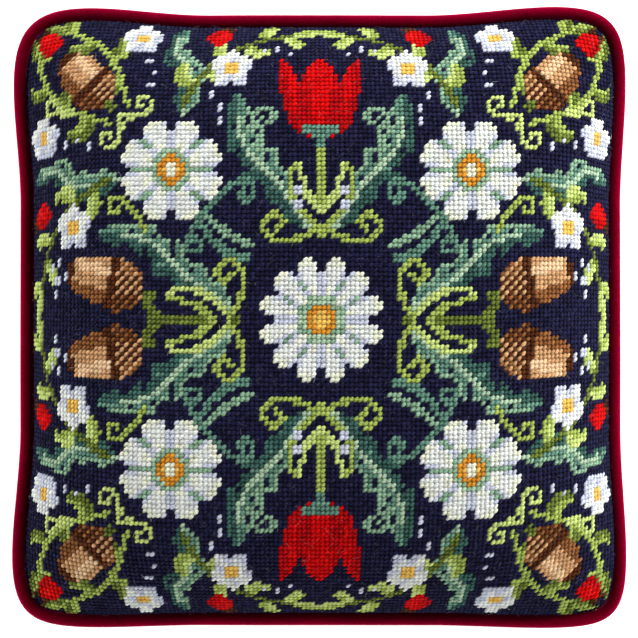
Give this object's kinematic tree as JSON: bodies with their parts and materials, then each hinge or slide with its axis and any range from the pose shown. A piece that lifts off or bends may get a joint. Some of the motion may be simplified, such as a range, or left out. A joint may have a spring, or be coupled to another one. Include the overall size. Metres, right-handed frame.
{
  "type": "tapestry cushion",
  "caption": "Square filled cushion lying on its back: stitched wool tapestry face, plain velvet back and a velvet piping round the seam.",
  "frame": {"origin": "middle of the flat spot on the back that the cushion rests on", "axes": "+Z is out of the tapestry face, +Y is the face's top, +X is the face's right"},
  "size_m": [0.3408, 0.3447, 0.096],
  "materials": {
    "needlepoint_wool": "matt wool tent stitches on canvas, navy ground with green, white, red and tan motifs",
    "velvet_back": "short crimson velvet pile",
    "velvet_piping": "short crimson velvet pile over cord"
  },
  "bodies": {
    "root": {"tapestry_panel": "needlepoint_wool", "cushion": "velvet_back", "piping": "velvet_piping"}
  },
  "joints": []
}
